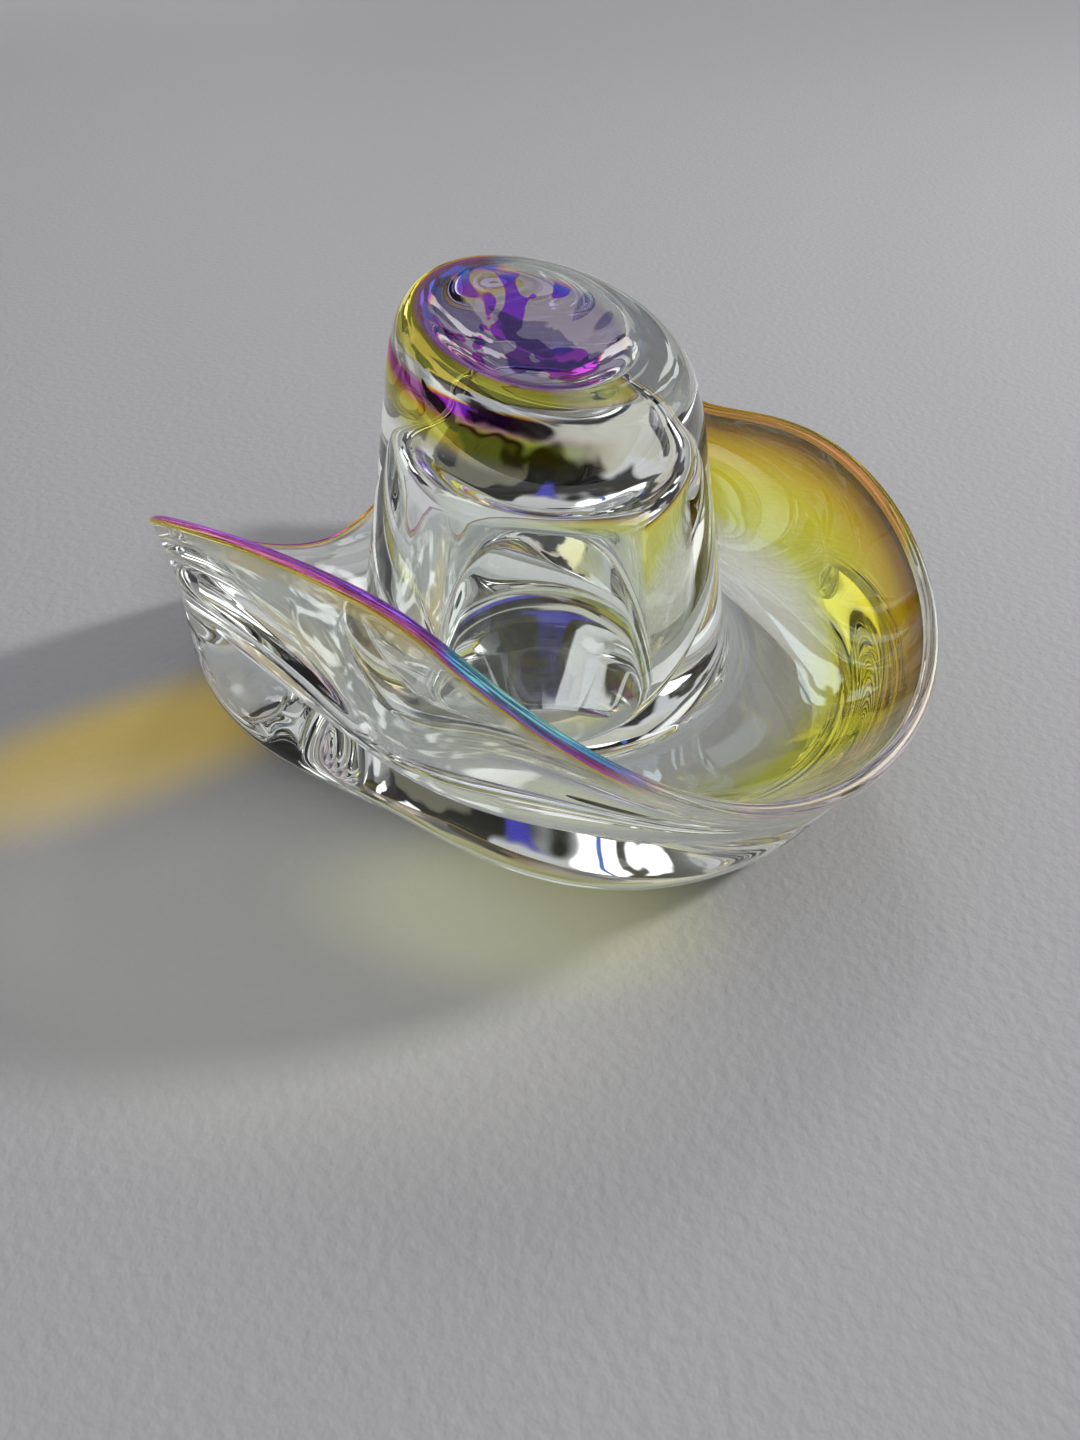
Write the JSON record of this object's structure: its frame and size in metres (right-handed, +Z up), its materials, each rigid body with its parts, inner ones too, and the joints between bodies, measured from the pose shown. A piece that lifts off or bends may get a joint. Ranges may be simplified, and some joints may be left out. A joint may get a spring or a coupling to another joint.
{
  "type": "glass hat",
  "caption": "Cowboy hat ornament in thick clear glass: a crown with a dished top and a closed air space inside it, on a brim with rolled sides, with gold and violet colour film on the upper faces.",
  "frame": {"origin": "under the middle of the hat's box, on the flat base", "axes": "+Z up, -Y towards the front of the hat, X across it between the rolled sides"},
  "size_m": [0.0888, 0.1129, 0.063],
  "materials": {
    "clear_glass": "polished",
    "gold_film": "polished",
    "violet_film": "polished"
  },
  "bodies": {
    "root": {"brim": "clear_glass", "crown": "clear_glass", "brim_film": "gold_film", "crown_film": "violet_film"}
  },
  "joints": []
}
